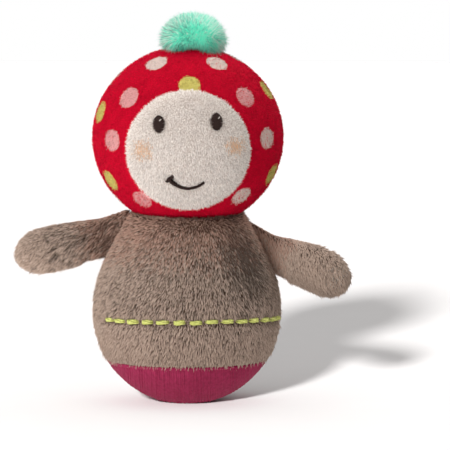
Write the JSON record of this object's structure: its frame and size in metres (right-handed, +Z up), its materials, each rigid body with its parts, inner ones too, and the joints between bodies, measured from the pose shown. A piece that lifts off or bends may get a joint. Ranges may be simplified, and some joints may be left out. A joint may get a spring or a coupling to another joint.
{
  "type": "plush rattle",
  "caption": "Stuffed doll-shaped baby rattle with a spotted hood, plush face, pompom, soft arms, a weighted rounded base to stand on and a bead capsule inside.",
  "frame": {"origin": "middle of the flat patch under the base that the toy stands on", "axes": "+Z up along the body, the face towards -Y, the toy's left arm towards +X"},
  "size_m": [0.1396, 0.0733, 0.159],
  "materials": {
    "body_plush": "long-pile plush",
    "base_cloth": "ribbed short-pile cloth",
    "lime_thread": "embroidery thread",
    "hood_velour": "short-pile velour printed with spots",
    "face_plush": "short-pile plush",
    "brown_thread": "satin-stitch embroidery thread",
    "pompom_plush": "long-pile plush",
    "stuffing": "polyester fibre",
    "pouch_canvas": "cloth pouch of plastic granulate",
    "capsule_plastic": "moulded",
    "bead_plastic": "moulded"
  },
  "bodies": {
    "torso": {"body_front": "body_plush", "body_back": "body_plush", "base_panel": "base_cloth", "waist_thread": "lime_thread", "body_filling": "stuffing", "weight_pouch": "pouch_canvas", "capsule_lower": "capsule_plastic", "capsule_upper": "capsule_plastic"},
    "head": {"hood_front": "hood_velour", "hood_back": "hood_velour", "face_panel": "face_plush", "left_eye": "brown_thread", "right_eye": "brown_thread", "mouth": "brown_thread", "head_filling": "stuffing", "pompom_cover": "pompom_plush", "pompom_filling": "stuffing"},
    "left_arm": {"left_arm_cover": "body_plush", "left_arm_filling": "stuffing"},
    "right_arm": {"right_arm_cover": "body_plush", "right_arm_filling": "stuffing"},
    "bead_1": {"rattle_bead_1": "bead_plastic"},
    "bead_2": {"rattle_bead_2": "bead_plastic"},
    "bead_3": {"rattle_bead_3": "bead_plastic"},
    "bead_4": {"rattle_bead_4": "bead_plastic"},
    "bead_5": {"rattle_bead_5": "bead_plastic"},
    "bead_6": {"rattle_bead_6": "bead_plastic"}
  },
  "joints": [
    {"name": "head_turn", "type": "hinge", "parent": "torso", "child": "head", "pos_m": [0.0005, 0, 0.0782], "axis": [0, -0.0872, 0.9962], "range_deg": [-12, 12], "stiffness_Nm_per_rad": 0.02},
    {"name": "left_arm_fold", "type": "hinge", "parent": "torso", "child": "left_arm", "pos_m": [0.03224, 0, 0.06421], "axis": [0.4607, 0, -0.8875], "range_deg": [-55, 28], "stiffness_Nm_per_rad": 0.012},
    {"name": "right_arm_fold", "type": "hinge", "parent": "torso", "child": "right_arm", "pos_m": [-0.03029, 0, 0.06784], "axis": [0.4878, 0, 0.8729], "range_deg": [-40, 55], "stiffness_Nm_per_rad": 0.012},
    {"name": "bead_1_shake", "type": "slide", "parent": "torso", "child": "bead_1", "axis": [0, 0, 1], "range_m": [0, 0.021]},
    {"name": "bead_2_shake", "type": "slide", "parent": "torso", "child": "bead_2", "axis": [0, 0, 1], "range_m": [0, 0.0182]},
    {"name": "bead_3_shake", "type": "slide", "parent": "torso", "child": "bead_3", "axis": [0, 0, 1], "range_m": [0, 0.0182]},
    {"name": "bead_4_shake", "type": "slide", "parent": "torso", "child": "bead_4", "axis": [0, 0, 1], "range_m": [0, 0.0182]},
    {"name": "bead_5_shake", "type": "slide", "parent": "torso", "child": "bead_5", "axis": [0, 0, 1], "range_m": [0, 0.0182]},
    {"name": "bead_6_shake", "type": "slide", "parent": "torso", "child": "bead_6", "axis": [0, 0, 1], "range_m": [0, 0.0182]}
  ]
}
